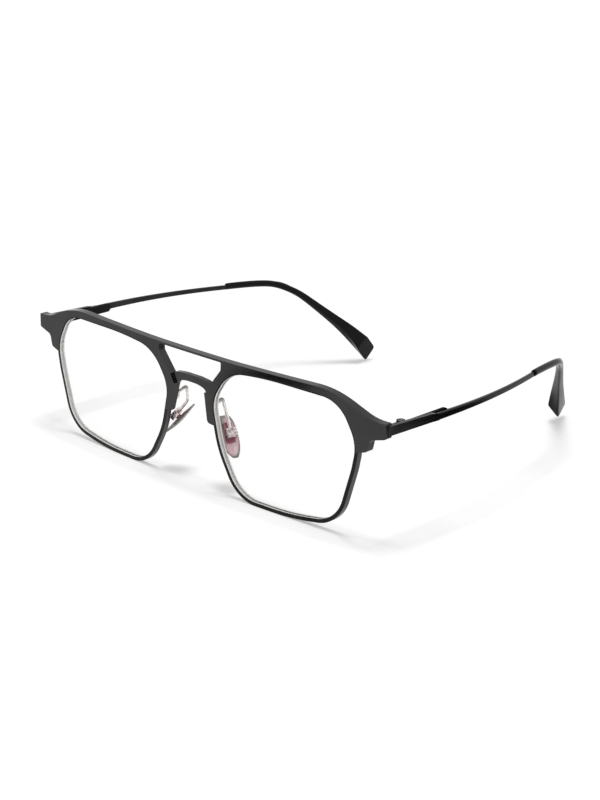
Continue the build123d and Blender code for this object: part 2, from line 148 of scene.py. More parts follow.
def worn_and_highlit_edge(tree, reach):
    """1 at an outer edge of the piece and 0 on its flats, with the normal of the broken edge. The mask
    lightens edges, partly as wear and partly as a painted highlight.
    """
    soft = broken_edge(tree, reach)
    flat = add(tree, "NewGeometry").outputs["Normal"]
    alike = points(tree, "DOT_PRODUCT", soft, flat)["Value"]
    return span(tree, alike, EDGE_STARTS, EDGE_IS_FULL), soft


def rubbed_and_highlit(tree, edge, size, least, most):
    """Lighter edges in patches of about this size, partly wear and partly a painted highlight."""
    return sums(tree, "MULTIPLY", edge, span(tree, grain(tree, size), 0.35, 0.65, least, most))


def relief(tree, height, depth, normal=None):
    """Normal of a surface that this height roughens by some metres."""
    bump = add(tree, "Bump")
    put(tree, bump.inputs["Strength"], 1.0)
    put(tree, bump.inputs["Distance"], depth)
    put(tree, bump.inputs["Height"], height)
    if normal is not None:
        put(tree, bump.inputs["Normal"], normal)
    return bump.outputs[0]


def grey(level, warmth=0.0):
    """A neutral colour, a little warmer or cooler."""
    return (level * (1 + warmth), level, level * (1 - warmth), 1.0)


# Finishes of the frame: the colours of each, and its roughness where it is polished and where it is dull

PLATE_DARK, PLATE_LIGHT = grey(0.041, -0.01), grey(0.052, 0.01)
# The last plate colour lightens its edges, partly as wear and partly as a painted highlight.
PLATE_SPECK, PLATE_RUBBED_AND_HIGHLIT = grey(0.07, 0.01), grey(0.085, 0.01)
PLATE_ROUGHNESS = (0.14, 0.2)
PLATE_GLARE = 0.8

RIM_DARK, RIM_LIGHT = grey(0.013), grey(0.022, 0.01)
# The last rim colour on the next line lightens its edges, partly as wear and partly as a painted highlight.
RIM_OUTER, RIM_RUBBED_AND_HIGHLIT = grey(0.07, 0.01), grey(0.06, 0.01)
# Painted reflection on the rim's inner walls and groove, dim and bright in patches.
RIM_REFLECTION_DIM, RIM_REFLECTION_BRIGHT = grey(0.66, 0.02), grey(0.80, 0.02)
RIM_ROUGHNESS = (0.26, 0.36)

# Both face colours carry a rose tint that is a painted reflection of the pink pad; the edge colour is partly
# wear and partly a painted highlight.
BOX_CLEAN_REFLECTING_PAD, BOX_DULL_REFLECTING_PAD, BOX_EDGE_WORN_AND_HIGHLIT = (0.86, 0.74, 0.75, 1), (0.30, 0.22, 0.23, 1), grey(0.97, 0.01)
BOX_ROUGHNESS = (0.1, 0.22)

# The last colour here and the three numbers after it paint a dark reflection over the top of the wire's loop,
# above a ragged height.
ARM_CLEAN, ARM_DULL, ARM_DARK_REFLECTION = (0.86, 0.82, 0.79, 1), (0.64, 0.60, 0.57, 1), grey(0.2, 0.03)
ARM_ROUGHNESS = (0.14, 0.28)
ARM_DARK_REFLECTION_FROM, ARM_DARK_REFLECTION_TO = 26.2 * MM, 27.4 * MM
ARM_DARK_REFLECTION_RAGGED = 0.8 * MM

SCREW_ROUGHNESS = (0.22, 0.38)

LENS_FACE, LENS_EDGE = (0.03, 0.04, 0.04, 1), grey(0.9, 0.01)
LENS_ROUGHNESS = (0.03, 0.09)
LENS_FAINT = (0.012, 0.03)
LENS_EDGE_SHOWS = 0.12
LENS_EDGE_TURNS = (0.85, 0.5)
LENS_SMEARS = (0.5, 0.8)
LENS_IOR = 1.5

SILICONE_DARK, SILICONE_LIGHT = (0.78, 0.20, 0.30, 1), (0.94, 0.38, 0.47, 1)
# The next two colours are a painted highlight and the painted shade of the pad's edges.
SILICONE_HIGHLIGHT, SILICONE_SHADE = (1.0, 0.78, 0.81, 1), (0.15, 0.145, 0.12, 1)
SILICONE_ROUGHNESS = (0.12, 0.2)
SILICONE_THIN, SILICONE_THICK = 0.5, 0.66
SILICONE_IOR = 1.43

# The last colour is a painted highlight along the insert's ribs and edges.
CORE_DARK, CORE_LIGHT, CORE_EDGE_HIGHLIGHT = (0.52, 0.20, 0.27, 1), (0.66, 0.32, 0.38, 1), (0.80, 0.62, 0.66, 1)
CORE_ROUGHNESS = (0.25, 0.4)
CORE_IOR = 1.5

TIP_DARK, TIP_LIGHT = grey(0.002), grey(0.005, 0.01)
TIP_ROUGHNESS = (0.14, 0.22)
TIP_IOR = 1.5
TIP_GLOSS = 0.12


def blasted_gunmetal():
    """Matte gunmetal plating over a bead blasted plate, brighter along its edges, partly worn and partly a
    painted highlight.
    """
    finish, tree, shader = new_finish("blasted_gunmetal")
    fine = grain(tree, 0.14 * MM, detail=2.0)
    broad = grain(tree, 9 * MM, detail=4.0)
    edge, soft = worn_and_highlit_edge(tree, 0.12 * MM)
    colour = blend_colours(tree, drift(tree, broad), PLATE_DARK, PLATE_LIGHT)
    colour = blend_colours(tree, drift(tree, fine, 0.0, 0.2), colour, PLATE_SPECK)
    # Edges lighter in patches: partly wear, partly a painted highlight.
    colour = blend_colours(tree, rubbed_and_highlit(tree, edge, 3 * MM, 0.2, 0.5), colour, PLATE_RUBBED_AND_HIGHLIT)
    dress(tree, shader, Base_Color=colour, Metallic=1.0, Specular_Tint=grey(PLATE_GLARE),
          Roughness=drift(tree, broad, *PLATE_ROUGHNESS),
          Normal=relief(tree, fine, 0.0015 * MM, soft))
    return finish


def satin_black(name, dark, light, rough, stretch, glare=0.8):
    """Satin black plating with a faint drawn grain along the piece."""
    finish, tree, shader = new_finish(name)
    drawn = grain(tree, 0.5 * MM, stretch, detail=3.0)
    broad = grain(tree, 7 * MM, detail=4.0)
    edge, soft = worn_and_highlit_edge(tree, 0.1 * MM)
    colour = blend_colours(tree, drift(tree, broad), grey(dark), grey(light))
    # Edges lighter in patches: partly wear, partly a painted highlight.
    colour = blend_colours(tree, rubbed_and_highlit(tree, edge, 1.3 * MM, 0.1, 0.6), colour, grey(light * 1.6, 0.01))
    dress(tree, shader, Base_Color=colour, Metallic=1.0, Specular_Tint=grey(glare),
          Roughness=drift(tree, drawn, rough - 0.04, rough + 0.05),
          Normal=relief(tree, drawn, 0.003 * MM, soft))
    return finish


# The front is bowed about this upright axis. What lies closer to the axis than the groove's front wall
# is behind the rim's front lip.
BOW_AXIS = (0.0, 0.686675, 0.0)
GROOVE_FRONT = 0.74925
GROOVE_BLUR = 0.1 * MM
# How much a wall turns to the lens' middle, or to the front, where its colour starts and where it is full: a
# painted reflection on the inner walls and the groove, a lighter tone on the outer walls.
INNER_WALL = (0.3, 0.45)
OUTER_WALL = (-0.6, -0.9)
TO_THE_FRONT = (-0.5, -0.8)


def rim_finish(side, middle):
    """Black plated wire with a painted bright reflection on its inner walls and on the groove round the lens.
    """
    finish, tree, shader = new_finish("rim_plating_" + side)
    spot = add(tree, "TexCoord").outputs
    inward = points(tree, "SUBTRACT", middle, spot["Object"])[0]
    inward = points(tree, "MULTIPLY", inward, (1, 0, 1))[0]
    inward = add(tree, "VectorMath", {"operation": "NORMALIZE"}, in0=inward).outputs[0]
    facing = points(tree, "DOT_PRODUCT", inward, spot["Normal"])["Value"]
    inner_wall = span(tree, facing, *INNER_WALL)
    outer_wall = span(tree, facing, *OUTER_WALL)
    level = points(tree, "MULTIPLY", spot["Object"], (1, 1, 0))[0]
    from_axis = points(tree, "DISTANCE", level, BOW_AXIS)["Value"]
    behind_lip = span(tree, from_axis, GROOVE_FRONT, GROOVE_FRONT - GROOVE_BLUR)
    forward = span(tree, add(tree, "SeparateXYZ", in0=spot["Normal"]).outputs[1], *TO_THE_FRONT)
    # Where the painted reflection goes: the inner walls, and the groove's front wall behind the lip.
    bright = sums(tree, "MAXIMUM", inner_wall, sums(tree, "MULTIPLY", behind_lip, forward))
    drawn = grain(tree, 0.35 * MM, detail=3.0)
    broad = grain(tree, 6 * MM, detail=4.0)
    edge, soft = worn_and_highlit_edge(tree, 0.08 * MM)
    black = blend_colours(tree, drift(tree, broad), RIM_DARK, RIM_LIGHT)
    black = blend_colours(tree, outer_wall, black, RIM_OUTER)
    # Edges a little lighter: partly wear, partly a painted highlight.
    black = blend_colours(tree, sums(tree, "MULTIPLY", edge, 0.3), black, RIM_RUBBED_AND_HIGHLIT)
    painted_reflection = blend_colours(tree, drift(tree, drawn), RIM_REFLECTION_DIM, RIM_REFLECTION_BRIGHT)
    dress(tree, shader, Base_Color=blend_colours(tree, bright, black, painted_reflection), Metallic=1.0,
          Roughness=drift(tree, drawn, *RIM_ROUGHNESS), Normal=relief(tree, drawn, 0.003 * MM, soft))
    return finish


def box_nickel():
    """Stamped nickel cup: dull and clean patches, both tinted rose as a painted reflection of the pink pad,
    and bright cut edges, partly wear and partly a painted highlight.
    """
    finish, tree, shader = new_finish("box_nickel")
    drawn = grain(tree, 0.12 * MM, detail=2.0)
    dull = grain(tree, 0.7 * MM, detail=4.0)
    edge, soft = worn_and_highlit_edge(tree, 0.12 * MM)
    colour = blend_colours(tree, span(tree, dull, 0.35, 0.65), BOX_CLEAN_REFLECTING_PAD, BOX_DULL_REFLECTING_PAD)
    colour = blend_colours(tree, edge, colour, BOX_EDGE_WORN_AND_HIGHLIT)
    dress(tree, shader, Base_Color=colour, Metallic=1.0,
          Roughness=span(tree, drawn, 0.3, 0.8, *BOX_ROUGHNESS), Normal=relief(tree, dull, 0.12 * MM, soft))
    return finish


def arm_nickel():
    """Drawn nickel wire, clean along its straight part, with a painted dark reflection over its loop above a
    ragged height.
    """
    finish, tree, shader = new_finish("arm_nickel")
    drawn = grain(tree, 0.12 * MM, (1, 1, 0.2), detail=2.0)
    dull = grain(tree, 0.9 * MM, detail=4.0)
    height = add(tree, "SeparateXYZ", in0=place(tree)).outputs[2]
    # Painted dark reflection over the top of the loop, above a ragged height.
    ragged = sums(tree, "ADD", height, sums(tree, "MULTIPLY", dull, ARM_DARK_REFLECTION_RAGGED))
    dark_reflection = span(tree, ragged, ARM_DARK_REFLECTION_FROM, ARM_DARK_REFLECTION_TO)
    colour = blend_colours(tree, span(tree, dull, 0.35, 0.75), ARM_CLEAN, ARM_DULL)
    colour = blend_colours(tree, dark_reflection, colour, ARM_DARK_REFLECTION)
    dress(tree, shader, Base_Color=colour, Metallic=1.0, Roughness=span(tree, dull, 0.3, 0.8, *ARM_ROUGHNESS),
          Normal=relief(tree, drawn, 0.002 * MM, broken_edge(tree, 0.06 * MM)))
    return finish


def turned_steel(name, dark, light):
    """Screw steel with turning marks and lighter edges, partly wear and partly a painted highlight."""
    finish, tree, shader = new_finish(name)
    marks = grain(tree, 0.08 * MM, (1, 1, 3), detail=2.0)
    edge, soft = worn_and_highlit_edge(tree, 0.05 * MM)
    colour = blend_colours(tree, drift(tree, marks), grey(dark, 0.01), grey(light, 0.02))
    # Edges lighter: partly wear, partly a painted highlight.
    colour = blend_colours(tree, edge, colour, grey(light * 1.3, 0.01))
    dress(tree, shader, Base_Color=colour, Metallic=1.0, Roughness=drift(tree, marks, *SCREW_ROUGHNESS),
          Normal=relief(tree, marks, 0.002 * MM, soft))
    return finish


def clear_lens():
    """Coated clear lens: almost nothing on its faces, a milky ground edge, a few faint smears."""
    finish, tree, shader = new_finish("clear_lens")
    normal = add(tree, "TexCoord").outputs["Normal"]
    across = add(tree, "SeparateXYZ", in0=normal).outputs[1]
    edge = span(tree, sums(tree, "ABSOLUTE", across), *LENS_EDGE_TURNS)
    smear = grain(tree, 14 * MM, (1, 1, 2.2), detail=5.0, rough=0.6)
    faint = span(tree, smear, *LENS_SMEARS, *LENS_FAINT)
    dress(tree, shader, Base_Color=blend_colours(tree, edge, LENS_FACE, LENS_EDGE), IOR=LENS_IOR,
          Roughness=span(tree, smear, 0.4, 0.7, *LENS_ROUGHNESS),
          Alpha=sums(tree, "ADD", faint, sums(tree, "MULTIPLY", edge, LENS_EDGE_SHOWS)))
    finish.surface_render_method = "BLENDED"
    return finish


# Pattern of a soft pad, from its middle: across it to the back, and along it upwards.
# The band, the outline and the turn below place painted shade; the last five numbers place a painted
# highlight.
BAND_LEAN = 0.13
BAND_FROM, BAND_TO = -1.25 * MM, -1.95 * MM
OUTLINE_SHIFTS = (0.3 * MM, 0.2 * MM)
OUTLINE_HALVES = (2.75 * MM, 6.9 * MM)
OUTLINE_FROM, OUTLINE_TO = 0.66, 0.9
TURNED_FROM, TURNED_TO = 0.3, 0.7
STRIPE_MIDDLE = 0.5 * MM
STRIPE_FROM, STRIPE_TO = 0.9 * MM, 0.1 * MM
STRIPE_TOP, STRIPE_FULL = -1.6 * MM, -2.6 * MM
STRIPE_SHARE = 0.8


def pink_silicone(side, middle, across, along):
    """Soft clear pad: pink over its insert, with painted shade towards its front edge, along its outline and
    where it turns away, and a painted highlight low down its middle.
    """
    finish, tree, shader = new_finish("pink_silicone_" + side)
    skin = grain(tree, 0.25 * MM, detail=3.0)
    cloud = grain(tree, 3 * MM, detail=3.0)
    spot = points(tree, "SUBTRACT", place(tree), tuple(middle))[0]
    back = points(tree, "DOT_PRODUCT", spot, tuple(across))["Value"]
    up = points(tree, "DOT_PRODUCT", spot, tuple(along))["Value"]
    leaning = sums(tree, "SUBTRACT", back, sums(tree, "MULTIPLY", up, BAND_LEAN))
    # Painted shade on the pad's front side, in a leaning band.
    front_shade = span(tree, leaning, BAND_FROM, BAND_TO)
    squares = []
    for reach, shift, half in zip((back, up), OUTLINE_SHIFTS, OUTLINE_HALVES):
        share = sums(tree, "DIVIDE", sums(tree, "ADD", reach, shift), half)
        squares.append(sums(tree, "POWER", sums(tree, "ABSOLUTE", share), 2.0))
    # Painted shade along the pad's outline.
    outline_shade = span(tree, sums(tree, "ADD", *squares), OUTLINE_FROM, OUTLINE_TO)
    # Painted shade where the surface turns from the view.
    turned = span(tree, add(tree, "LayerWeight", in0=0.5).outputs["Facing"], TURNED_FROM, TURNED_TO)
    # All painted shade together; it also makes the pad less see-through there.
    thick = sums(tree, "MAXIMUM", sums(tree, "MAXIMUM", front_shade, outline_shade), turned)
    # Painted highlight low on the pad, beside its middle.
    beside = sums(tree, "ABSOLUTE", sums(tree, "SUBTRACT", back, STRIPE_MIDDLE))
    painted_highlight = sums(tree, "MULTIPLY", span(tree, beside, STRIPE_FROM, STRIPE_TO),
                  span(tree, up, STRIPE_TOP, STRIPE_FULL))
    colour = blend_colours(tree, drift(tree, cloud), SILICONE_DARK, SILICONE_LIGHT)
    colour = blend_colours(tree, sums(tree, "MULTIPLY", painted_highlight, STRIPE_SHARE), colour, SILICONE_HIGHLIGHT)
    colour = blend_colours(tree, thick, colour, SILICONE_SHADE)
    dress(tree, shader, Base_Color=colour, IOR=SILICONE_IOR,
          Alpha=span(tree, thick, 0.0, 1.0, SILICONE_THIN, SILICONE_THICK),
          Roughness=drift(tree, skin, *SILICONE_ROUGHNESS), Normal=relief(tree, skin, 0.004 * MM))
    finish.surface_render_method = "BLENDED"
    return finish


def pad_core_plastic():
    """Darker rose plastic of the hard insert, with a painted highlight along its ribs and edges."""
    finish, tree, shader = new_finish("pad_core_plastic")
    cloud = grain(tree, 1.2 * MM, detail=3.0)
    edge, soft = worn_and_highlit_edge(tree, 0.08 * MM)
    colour = blend_colours(tree, drift(tree, cloud), CORE_DARK, CORE_LIGHT)
    colour = blend_colours(tree, sums(tree, "MULTIPLY", edge, 0.6), colour, CORE_EDGE_HIGHLIGHT)
    dress(tree, shader, Base_Color=colour, Roughness=drift(tree, cloud, *CORE_ROUGHNESS), IOR=CORE_IOR,
          Normal=relief(tree, cloud, 0.01 * MM, soft))
    return finish


def polished_acetate():
    """Tumble polished black tip with faint clouds and a soft haze."""
    finish, tree, shader = new_finish("polished_acetate")
    cloud = grain(tree, 5 * MM, detail=4.0)
    haze = grain(tree, 0.6 * MM, detail=4.0)
    dress(tree, shader, Base_Color=blend_colours(tree, drift(tree, cloud), TIP_DARK, TIP_LIGHT), IOR=TIP_IOR,
          Specular_IOR_Level=TIP_GLOSS, Roughness=drift(tree, haze, *TIP_ROUGHNESS),
          Normal=relief(tree, haze, 0.002 * MM, broken_edge(tree, 0.25 * MM)))
    return finish


def finish_nodes():
    """Gives every CAD node that stays its finish."""
    plate = blasted_gunmetal()
    of_both_sides = {
        "hinge_front_leaf": satin_black("leaf_plating", dark=0.012, light=0.018, rough=0.24,
                                        stretch=(1, 0.25, 1)),
        "temple_hinge_leaf": satin_black("temple_leaf_plating", dark=0.010, light=0.016, rough=0.24,
                                         stretch=(1, 0.25, 1), glare=0.5),
        "temple_bar": satin_black("bar_plating", dark=0.020, light=0.033, rough=0.2, stretch=(1, 0.12, 1)),
        "pad_arm": arm_nickel(),
        "pad_box": box_nickel(),
        "rim_lock": satin_black("lock_plating", dark=0.02, light=0.035, rough=0.34, stretch=(1, 1, 1)),
        "rim_lock_screw": turned_steel("lock_screw_steel", dark=0.10, light=0.16),
        "hinge_screw": turned_steel("hinge_screw_steel", dark=0.05, light=0.09),
        "pad_screw": turned_steel("pad_screw_steel", dark=0.36, light=0.52),
        "lens": clear_lens(),
    }
    for side in SIDES:
        low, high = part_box("lens_" + side)
        wear(nodes["eyewire_" + side], rim_finish(side, tuple((low + high) / 2)))
        for name, finish in of_both_sides.items():
            wear(nodes[name + "_" + side], finish)
    wear(nodes["brow_front"], plate)


# Modelling by hand

TOUCHING = 0.001
BESIDE = 0.01
ROUNDING_LEVELS = 2
MIDDLE = (0, 0, 0)


def pick(piece, test):
    """Selects in edit mode the corners that pass a test by their place, and what lies between them."""
    bpy.ops.object.mode_set(mode="OBJECT")
    for part in (piece.data.polygons, piece.data.edges):
        part.foreach_set("select", [False] * len(part))
    for corner in piece.data.vertices:
        corner.select = test(corner.co)
    bpy.ops.object.mode_set(mode="EDIT")
    bpy.ops.mesh.select_mode(type="VERT")


def on_spots(spots):
    """A test for the corners that lie on one of these spots."""
    return lambda corner: any((corner - spot).length < TOUCHING for spot in spots)


def new_block(name, size, spot, cuts=0):
    """Block of this size at this place, left in edit mode, with each side cut into strips."""
    bpy.ops.mesh.primitive_cube_add(size=1, location=spot)
    piece = bpy.context.object
    piece.name = name
    bpy.ops.object.transform_apply(location=True, rotation=True, scale=True)
    bpy.ops.object.mode_set(mode="EDIT")
    bpy.ops.mesh.select_all(action="SELECT")
    bpy.ops.transform.resize(value=size, center_override=spot)
    if cuts:
        bpy.ops.mesh.subdivide(number_cuts=cuts)
    return piece


def round_edges(piece, radius, test, steps=3):
    """Rounds the edges whose two ends pass a test, in edit mode."""
    pick(piece, test)
    bpy.ops.mesh.bevel(offset=radius, segments=steps, affect="EDGES")


def alone(piece):
    """Makes a piece the only one chosen."""
    bpy.ops.object.select_all(action="DESELECT")
    piece.select_set(True)
    bpy.context.view_layer.objects.active = piece


def smooth(piece):
    """Subdivision surface, applied."""
    alone(piece)
    rounder = piece.modifiers.new("rounding", "SUBSURF")
    rounder.levels = ROUNDING_LEVELS
    rounder.render_levels = ROUNDING_LEVELS
    bpy.ops.object.modifier_apply(modifier=rounder.name)
    bpy.ops.object.shade_smooth()


def mirror_over(piece):
    """Turns a left piece into the right one."""
    alone(piece)
    bpy.ops.object.mode_set(mode="EDIT")
    bpy.ops.mesh.select_all(action="SELECT")
    bpy.ops.transform.mirror(constraint_axis=(True, False, False), center_override=MIDDLE)
    bpy.ops.mesh.normals_make_consistent(inside=False)
    bpy.ops.object.mode_set(mode="OBJECT")


# Nose pads and their inserts, drawn in millimetres in the left pad's own frame

# Where that frame stands on the part: its middle, its way across to the back and its way along upwards.
PAD_MIDDLE = Vector((10.8, -57.3248, 16.0031)) * MM
PAD_ACROSS = Vector((0.44386, 0.89560, 0.02987))
PAD_ALONG = Vector((-0.61488, 0.28014, 0.73719))

# Rows of the pad's cage: height along the pad, its front and back sides, its face to the nose and its face
# to the box.
PAD_ROWS = (
    (-7.1, -0.9, 0.9, 0.10, 0.50), (-5.0, -2.3, 1.9, -0.35, 0.68), (-2.4, -3.05, 2.4, -0.76, 0.72),
    (0.0, -3.1, 2.45, -0.88, 0.68), (2.4, -3.0, 2.4, -0.68, 0.62), (4.8, -2.8, 2.0, -0.48, 0.50),
    (6.6, -2.3, 1.1, -0.28, 0.38),
)
# Before the cage is shaped, its sides lie past the first of these, and its shoulders past the second.
PAD_WALL_FROM = 0.99
PAD_SHOULDER_FROM = 0.6
# They keep these shares of the thickness at the crown.
PAD_WALL_SHARE = 0.5
PAD_SHOULDER_SHARE = 0.9
# A row that has its shape is kept this far away until all have theirs.
ROW_AWAY = 100

# The insert's plate and its ribs.
INSERT_SIZE = (3.0, 6.6, 0.6)
INSERT_MIDDLE = (-0.2, 0.95, 0.12)
INSERT_CORNER = 0.7
RIB_SIZE = (2.5, 0.34, 0.3)
RIB_HEIGHTS = (-2.0, 2.2, 2.9)
# The lug: how far off the bore lies, its width, outer radius, wall and sides, and the web that it stands on.
BOSS_REACH = 1.6
BOSS_WIDTH = 1.4
BOSS_OUTER = 0.72
BOSS_WALL = 0.25
BOSS_SIDES = 32
WEB_SIZE = (BOSS_WIDTH, BOSS_OUTER * 1.6, BOSS_REACH - BOSS_OUTER * 0.7)
WEB_FOOT = 0.1
WEB_CORNER = 0.15
CREASE = radians(35)


def settle(piece, side):
    """Turns a piece from the pad's own frame to its place on the left, or mirrored on the right."""
    alone(piece)
    out = PAD_ACROSS.cross(PAD_ALONG)
    turn = Matrix((PAD_ACROSS, PAD_ALONG, out)).transposed().to_4x4()
    piece.matrix_world = Matrix.Translation(PAD_MIDDLE) @ turn @ Matrix.Scale(MM, 4)
    bpy.ops.object.transform_apply(location=True, rotation=True, scale=True)
    if side == "right":
        mirror_over(piece)


def soft_pad(side):
    """Crowned drop-shaped pad with thin ends, thickest where the box is."""
    rows = len(PAD_ROWS)
    size = (2.0, rows - 1.0, 2.0)
    piece = new_block("nose_pad_%s_soft" % side, size, MIDDLE, cuts=rows - 2)
    pick(piece, lambda corner: abs(corner.x) > PAD_WALL_FROM)
    bpy.ops.transform.resize(value=(1, 1, PAD_WALL_SHARE), center_override=MIDDLE)
    pick(piece, lambda corner: PAD_SHOULDER_FROM < abs(corner.x) < PAD_WALL_FROM)
    bpy.ops.transform.resize(value=(1, 1, PAD_SHOULDER_SHARE), center_override=MIDDLE)
    for number, (height, front, back, low, high) in reversed(list(enumerate(PAD_ROWS))):
        start = number - (rows - 1) / 2
        pick(piece, lambda corner: abs(corner.y - start) < BESIDE)
        bpy.ops.transform.resize(value=((back - front) / 2, 1, (high - low) / 2),
                                 center_override=(0, start, 0))
        bpy.ops.transform.translate(value=((back + front) / 2, ROW_AWAY + height - start, (high + low) / 2))
    pick(piece, lambda corner: True)
    bpy.ops.transform.translate(value=(0, -ROW_AWAY, 0))
    bpy.ops.object.mode_set(mode="OBJECT")
    smooth(piece)
    settle(piece, side)
    return piece


def cross_ribs():
    """The ribs on the insert's face to the box."""
    ribs = []
    for number, height in enumerate(RIB_HEIGHTS):
        spot = (INSERT_MIDDLE[0], height, INSERT_MIDDLE[2] + INSERT_SIZE[2] / 2 + RIB_SIZE[2] / 4)
        rib = new_block("rib_%d" % number, RIB_SIZE, spot)
        round_edges(rib, RIB_SIZE[1] / 4, lambda corner: corner.z > spot[2], steps=2)
        bpy.ops.object.mode_set(mode="OBJECT")
        ribs.append(rib)
    return ribs


def bored_lug():
    """The web and the ring that the pad screw goes through."""
    web = new_block("web", WEB_SIZE, (0, 0, WEB_SIZE[2] / 2))
    round_edges(web, WEB_CORNER, lambda corner: corner.z < WEB_FOOT, steps=2)
    bpy.ops.object.mode_set(mode="OBJECT")
    bpy.ops.mesh.primitive_cylinder_add(vertices=BOSS_SIDES, radius=BOSS_OUTER, depth=BOSS_WIDTH,
                                        end_fill_type="NOTHING", location=(0, 0, BOSS_REACH),
                                        rotation=(0, radians(90), 0))
    ring = bpy.context.object
    bpy.ops.object.transform_apply(location=True, rotation=True, scale=True)
    wall = ring.modifiers.new("wall", "SOLIDIFY")
    wall.thickness = BOSS_WALL
    wall.offset = -1
    bpy.ops.object.modifier_apply(modifier=wall.name)
    return [web, ring]


def hard_insert(side):
    """Rounded plate with cross ribs, and the bored lug that the pad screw holds."""
    wide, long, thick = INSERT_SIZE
    piece = new_block("pad_insert_%s_core" % side, INSERT_SIZE, INSERT_MIDDLE)
    for end in (-1, 1):
        for edge in (-1, 1):
            x, y = INSERT_MIDDLE[0] + edge * wide / 2, INSERT_MIDDLE[1] + end * long / 2
            round_edges(piece, INSERT_CORNER, lambda corner: abs(corner.x - x) + abs(corner.y - y) < BESIDE)
    bpy.ops.object.mode_set(mode="OBJECT")
    details = cross_ribs() + bored_lug()
    alone(piece)
    for detail in details:
        detail.select_set(True)
    bpy.ops.object.join()
    bpy.ops.object.shade_smooth_by_angle(angle=CREASE)
    settle(piece, side)
    return piece


def make_pads():
    """Pads and inserts of both sides, riding on their own bodies."""
    core = pad_core_plastic()
    for side, sign in SIDES.items():
        flip = Vector((sign, 1, 1))
        silicone = pink_silicone(side, PAD_MIDDLE * flip, PAD_ACROSS * flip, PAD_ALONG * flip)
        for make, node, slot, finish in ((soft_pad, "nose_pad_", "pad_clear", silicone),
                                         (hard_insert, "pad_insert_", "pad_core", core)):
            piece = make(side)
            wear(piece, finish)
            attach(piece, "pad_" + side)
            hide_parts(node + side)


# Temple tips

# Sections of the left tip in millimetres: its middle, the reach to its inner front ridge, the reach to its
# lower ridge, and how square it is.
TIP_STATIONS = (
    ((66.22, 14.10, 31.68), (-0.95, -0.25, 0.00), (0.00, -0.08, -1.05), 0.35),
    ((66.18, 14.25, 31.68), (-1.06, -0.28, 0.00), (0.00, -0.09, -1.17), 0.35),
    ((65.86, 15.50, 31.65), (-1.09, -0.28, 0.00), (0.00, -0.09, -1.20), 0.30),
    ((64.18, 22.60, 31.28), (-1.09, -0.29, 0.00), (0.00, -0.09, -1.18), 0.20),
    ((62.35, 29.60, 30.62), (-1.10, -0.32, 0.00), (0.02, -0.12, -1.17), 0.15),
    ((61.00, 33.30, 29.75), (-1.09, -0.40, 0.02), (0.08, -0.28, -1.12), 0.15),
    ((59.10, 36.70, 28.15), (-1.04, -0.52, 0.04), (0.20, -0.50, -1.02), 0.20),
    ((56.55, 40.03, 26.11), (-0.95, -0.75, -0.10), (0.60, -0.45, -1.05), 0.35),
    ((53.89, 43.72, 22.50), (-1.04, -0.80, 0.03), (0.50, -0.72, -1.10), 0.60),
    ((51.13, 47.28, 18.85), (-1.17, -1.00, -0.06), (0.74, -0.78, -1.32), 0.80),
    ((48.36, 50.82, 15.23), (-1.34, -1.27, -0.20), (1.06, -0.86, -1.60), 0.95),
    ((45.79, 54.16, 11.57), (-1.63, -1.58, -0.22), (1.42, -1.20, -2.00), 1.00),
)

# Corners of the flat at the tip's end, in millimetres: inner front, bottom, outer back and top.
TIP_FLAT = ((41.80, 54.50, 5.70), (42.50, 59.70, 0.00), (42.20, 64.10, 4.20), (41.40, 59.00, 9.70))
# The two rings before the flat, as shares of the way back to the last section.
RINGS_BEFORE_FLAT = (0.45, 0.05)
RIDGE_SHARE = 0.25
ROUND_AHEAD, ROUND_ASIDE = 0.866, 0.5
FLAT_INSET = 0.3
RING_POINTS = 12
# A new ring is drawn out this far first, clear of all that is there.
LIFT = Vector((0, 0, 500.0))


def ring_spots(corners, square):
    """Twelve points round a tip's section: each ridge with one point before and one after it."""
    middle = sum(corners, Vector()) / 4
    spots = []
    for number, corner in enumerate(corners):
        for step in (-1, 0, 1):
            beside = corners[(number + step) % 4]
            straight = corner.lerp(beside, RIDGE_SHARE)
            ahead, aside = (ROUND_AHEAD, ROUND_ASIDE) if step else (1, 0)
            rounded = middle + ((corner - middle) * ahead + (beside - middle) * aside)
            spots.append(rounded.lerp(straight, square))
    return spots


def tip_rings():
    """All sections of the left tip, from its mouth to its flat end."""
    rings = []
    for middle, inward, down, square in TIP_STATIONS:
        middle, inward, down = Vector(middle), Vector(inward), Vector(down)
        rings.append(ring_spots([middle + inward, middle + down, middle - inward, middle - down], square))
    before = rings[-1]
    last = ring_spots([Vector(corner) for corner in TIP_FLAT], 1.0)
    for share in RINGS_BEFORE_FLAT:
        rings.append([point.lerp(start, share) for point, start in zip(last, before)])
    rings.append(last)
    return rings


def polished_tip(side):
    """Tip drawn section by section from its mouth round the ear bend to the flat on its flared end."""
    rings = tip_rings()
    bpy.ops.mesh.primitive_circle_add(vertices=RING_POINTS, radius=1, fill_type="NGON", location=MIDDLE)
    piece = bpy.context.object
    piece.name = "temple_tip_%s_polished" % side
    for number, spot in enumerate(rings[0]):
        start = piece.data.vertices[number].co.copy()
        pick(piece, on_spots([start]))
        bpy.ops.transform.translate(value=spot - start)
    for before, ring in zip(rings, rings[1:]):
        pick(piece, on_spots(before))
        bpy.ops.mesh.extrude_region_move(TRANSFORM_OT_translate={"value": LIFT})
        for start, spot in zip(before, ring):
            pick(piece, on_spots([start + LIFT]))
            bpy.ops.transform.translate(value=spot - (start + LIFT))
    pick(piece, on_spots(rings[-1]))
    bpy.ops.mesh.inset(thickness=FLAT_INSET)
    bpy.ops.mesh.select_all(action="SELECT")
    bpy.ops.mesh.normals_make_consistent(inside=False)
    bpy.ops.transform.resize(value=(MM, MM, MM), center_override=MIDDLE)
    bpy.ops.object.mode_set(mode="OBJECT")
    smooth(piece)
    if side == "right":
        mirror_over(piece)
    return piece


